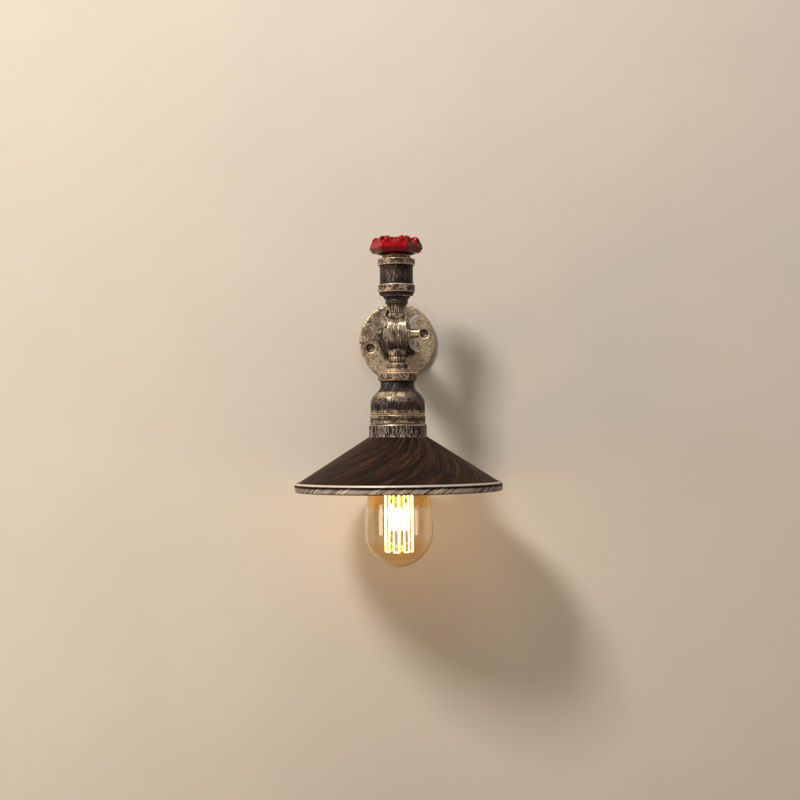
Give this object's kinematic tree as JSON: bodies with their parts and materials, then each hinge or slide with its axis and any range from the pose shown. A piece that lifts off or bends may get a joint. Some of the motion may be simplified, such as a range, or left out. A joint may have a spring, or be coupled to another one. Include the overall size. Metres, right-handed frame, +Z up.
{
  "type": "wall light",
  "caption": "Swivelling wall light built from pipe fittings, with a cone shade, a pear-shaped filament bulb and a lobed handwheel.",
  "frame": {"origin": "centre of the flange's back face, in the plane of the wall", "axes": "+Z up, +Y into the wall, +X to the right as seen from the room"},
  "size_m": [0.2078, 0.2219, 0.3296],
  "materials": {
    "cast_bronze": "satin",
    "flange_bronze": "satin",
    "shade_bronze": "satin",
    "red_enamel": "gloss",
    "pewter": "satin",
    "steel": "satin",
    "brass": "satin",
    "porcelain": "gloss",
    "black_glass": "gloss",
    "amber_glass": "polished",
    "clear_glass": "polished",
    "glowing_filament": "satin"
  },
  "bodies": {
    "wall_arm": {"wall_flange": "flange_bronze", "arm_nipple": "cast_bronze", "arm_bushing": "cast_bronze", "knuckle_arm": "cast_bronze", "nut_washer": "steel"},
    "lamp_head": {"knuckle_head": "cast_bronze", "pivot_bolt": "pewter", "friction_washer": "steel", "upper_bushing": "cast_bronze", "upper_coupling": "cast_bronze", "bonnet_plug": "cast_bronze", "lower_bushing": "cast_bronze", "bell_reducer": "cast_bronze", "lamp_nipple": "steel", "nipple_locknut": "steel", "holder_dome": "porcelain", "holder_core": "porcelain", "screw_shell": "brass", "centre_contact": "brass", "terminal_screws": "brass", "holder_skirt": "porcelain", "shade": "shade_bronze", "shade_ring": "porcelain", "bulb_cap": "brass", "cap_insulator": "black_glass", "cap_contact": "steel", "bulb_glass": "amber_glass", "bulb_stem": "clear_glass", "filament_supports": "steel", "filament": "glowing_filament"},
    "handwheel": {"handwheel": "red_enamel", "wheel_spindle": "steel", "wheel_washer": "steel", "wheel_nut": "steel"},
    "wing_nut": {"wing_nut": "pewter"}
  },
  "joints": [
    {"name": "head_tilt", "type": "hinge", "parent": "wall_arm", "child": "lamp_head", "pos_m": [0, -0.118, 0], "axis": [-1, 0, 0], "range_deg": [-4, 28]},
    {"name": "handwheel_turn", "type": "hinge", "parent": "lamp_head", "child": "handwheel", "pos_m": [0, -0.118, 0.085], "axis": [0, 0, 1], "continuous": true},
    {"name": "wing_nut_turn", "type": "hinge", "parent": "lamp_head", "child": "wing_nut", "pos_m": [0.015, -0.118, 0], "axis": [1, 0, 0], "range_deg": [0, 360]}
  ]
}
